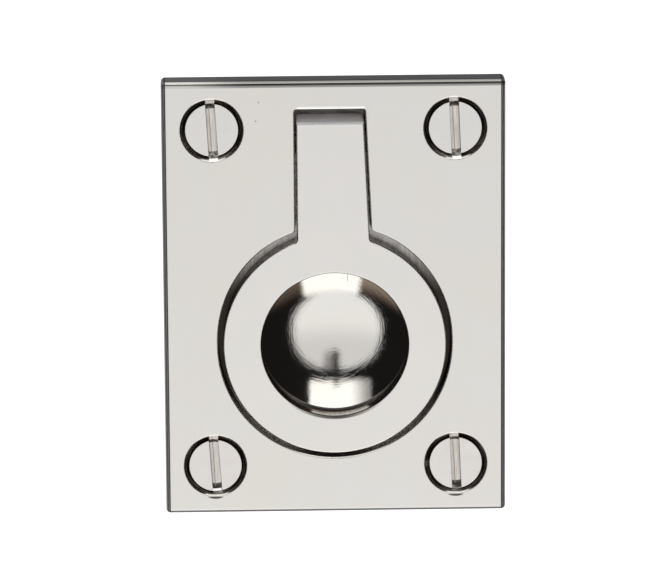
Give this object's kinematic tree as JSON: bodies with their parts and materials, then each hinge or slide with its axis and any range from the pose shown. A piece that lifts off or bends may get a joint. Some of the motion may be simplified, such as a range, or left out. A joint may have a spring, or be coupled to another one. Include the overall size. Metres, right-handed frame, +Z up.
{
  "type": "recessed ring pull handle",
  "caption": "Flush ring pull for a drawer or door: a cast plate with a keyhole recess and a dished finger bowl, a flat ring hinged on a pin, and countersunk slotted screws.",
  "frame": {"origin": "middle of the four fixing screws, in the plane of the plate's back face", "axes": "+Z up along the plate's long side, +X to the right seen from the front, +Y into the door or drawer front; the polished face looks along -Y"},
  "size_m": [0.0392, 0.0161, 0.0508],
  "materials": {
    "plate_nickel": "cast brass, polished and nickel plated, brushed in the bowl",
    "ring_nickel": "brass, face polished and nickel plated, filing marks on the edges",
    "pin_metal": "plain drawn pin",
    "screw_nickel": "turned brass, nickel plated, milled driver slot"
  },
  "bodies": {
    "plate": {"backplate": "plate_nickel", "hinge_pin": "pin_metal", "mounting_screws": "screw_nickel"},
    "ring": {"pull_ring": "ring_nickel"}
  },
  "joints": [
    {"name": "ring_hinge", "type": "hinge", "parent": "plate", "child": "ring", "pos_m": [0, -0.0018, 0.01845], "axis": [-1, 0, 0], "range_deg": [0, 105]}
  ]
}
